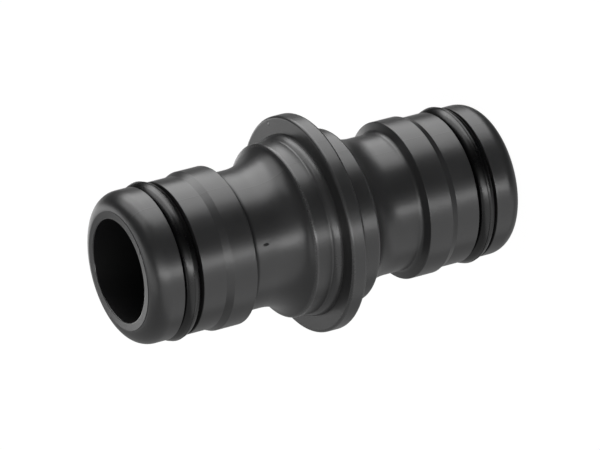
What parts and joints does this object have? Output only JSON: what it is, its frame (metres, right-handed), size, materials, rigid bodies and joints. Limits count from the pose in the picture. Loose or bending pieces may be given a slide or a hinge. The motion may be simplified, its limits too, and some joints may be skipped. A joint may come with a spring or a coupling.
{
  "type": "hose mender",
  "caption": "Straight double-ended hose mender: a moulded tube with a click-on spigot and rubber seal at either end and a finger flange in the middle.",
  "frame": {"origin": "middle of the lower end face, which the mender stands on", "axes": "+Z along the bore, from the lower spigot to the upper one; +X and +Y are free, because the part is a body of revolution"},
  "size_m": [0.0237, 0.0236, 0.0451],
  "materials": {
    "body_plastic": "satin charcoal moulded plastic",
    "seal_rubber": "smooth black rubber, slightly glossy"
  },
  "bodies": {
    "root": {"mender_body": "body_plastic", "upper_o_ring": "seal_rubber", "lower_o_ring": "seal_rubber"}
  },
  "joints": []
}
